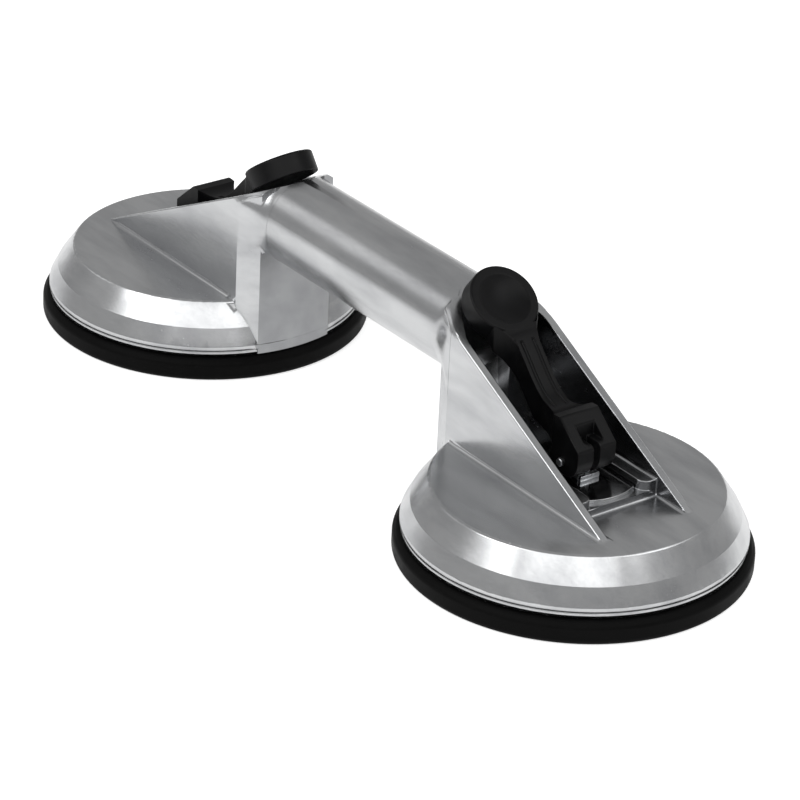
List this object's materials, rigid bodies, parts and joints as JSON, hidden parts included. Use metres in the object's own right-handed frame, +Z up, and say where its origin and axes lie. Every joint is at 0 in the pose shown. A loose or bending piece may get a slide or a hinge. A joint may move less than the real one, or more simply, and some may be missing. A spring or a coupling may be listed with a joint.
{
  "type": "twin-cup suction lifter",
  "caption": "Hand suction lifter for floor tiles: cast grip tube between round rubber suction cups, each with a ramp tower and a cam lever.",
  "frame": {"origin": "on the floor under the pads, half-way between the two cups", "axes": "+X along the grip, +Z up, +Y across the grip"},
  "size_m": [0.3364, 0.12, 0.083],
  "materials": {
    "cast_aluminium": "tumbled and polished die casting",
    "rubber": "moulded, satin",
    "zinc_steel": "zinc plated",
    "spring_steel": "drawn wire",
    "polished_steel": "polished sheet",
    "black_plastic": "moulded, fine grain"
  },
  "bodies": {
    "frame": {"body_casting": "cast_aluminium", "suction_pad_right": "rubber", "return_spring_right": "spring_steel", "cover_plate_right": "polished_steel", "wear_plate_right": "zinc_steel", "suction_pad_left": "rubber", "return_spring_left": "spring_steel", "cover_plate_left": "polished_steel", "wear_plate_left": "zinc_steel"},
    "plunger_right": {"tie_blade_right": "zinc_steel", "pad_plate_right": "zinc_steel"},
    "lever_right": {"lever_right": "black_plastic", "pivot_pin_right": "zinc_steel"},
    "plunger_left": {"tie_blade_left": "zinc_steel", "pad_plate_left": "zinc_steel"},
    "lever_left": {"lever_left": "black_plastic", "pivot_pin_left": "zinc_steel"}
  },
  "joints": [
    {"name": "pad_lift_right", "type": "slide", "parent": "frame", "child": "plunger_right", "axis": [0, 0, 1], "range_m": [0, 0.0046], "deforming": ["return_spring_right", "suction_pad_right"]},
    {"name": "lever_swing_right", "type": "hinge", "parent": "plunger_right", "child": "lever_right", "pos_m": [0.1082, 0, 0.0364], "axis": [0, 1, 0], "range_deg": [0, 90]},
    {"name": "pad_lift_left", "type": "slide", "parent": "frame", "child": "plunger_left", "axis": [0, 0, 1], "range_m": [0, 0.0046], "deforming": ["return_spring_left", "suction_pad_left"]},
    {"name": "lever_swing_left", "type": "hinge", "parent": "plunger_left", "child": "lever_left", "pos_m": [-0.1082, 0, 0.0364], "axis": [0, -1, 0], "range_deg": [0, 90]}
  ],
  "couplings": [
    {"joint": "lever_swing_right", "follows": "pad_lift_right", "rad_per_m": 341.48},
    {"joint": "lever_swing_left", "follows": "pad_lift_left", "rad_per_m": 341.48}
  ]
}
